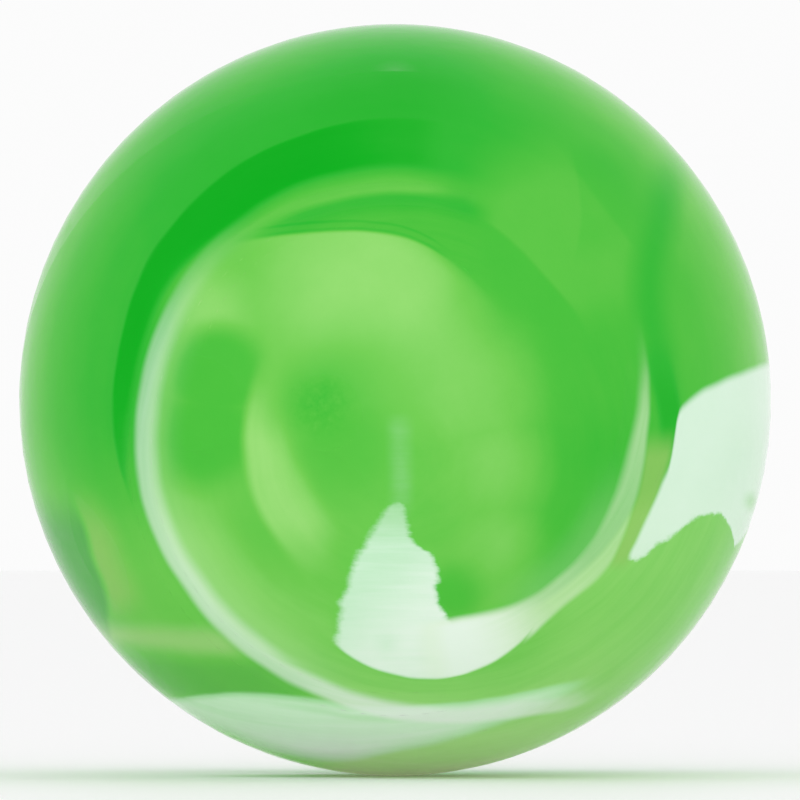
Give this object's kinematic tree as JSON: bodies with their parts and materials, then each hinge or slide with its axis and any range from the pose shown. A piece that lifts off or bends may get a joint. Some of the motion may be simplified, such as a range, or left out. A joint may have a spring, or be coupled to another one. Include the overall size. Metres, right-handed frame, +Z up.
{
  "type": "swirl marble",
  "caption": "Solid glass ball with white, lime and dark green streams folded into clear green glass in a spiral.",
  "frame": {"origin": "centre of the ball", "axes": "-Y towards the face with the spiral, +X to the right across that face, +Z up"},
  "size_m": [0.016, 0.016, 0.016],
  "materials": {
    "green_glass": "gloss, cloudy",
    "white_glass": "gloss, opaque",
    "streaky_white_glass": "gloss, opaque",
    "pale_glass": "gloss, cloudy",
    "mint_glass": "gloss, cloudy",
    "lime_glass": "gloss, cloudy",
    "olive_glass": "gloss, cloudy",
    "deep_glass": "gloss, cloudy"
  },
  "bodies": {
    "root": {"green_body": "green_glass", "white_flame": "white_glass", "white_ribbon": "white_glass", "white_wing": "white_glass", "white_drift": "streaky_white_glass", "pale_veil": "pale_glass", "mint_sweep": "mint_glass", "lime_cloud": "lime_glass", "lime_arc": "lime_glass", "olive_streak": "olive_glass", "pale_bar": "pale_glass", "deep_crescent": "deep_glass", "deep_brow": "deep_glass", "deep_eye": "deep_glass", "deep_pool": "deep_glass", "deep_bar": "deep_glass", "white_tail": "white_glass", "lime_tail": "lime_glass", "deep_tail": "deep_glass"}
  },
  "joints": []
}
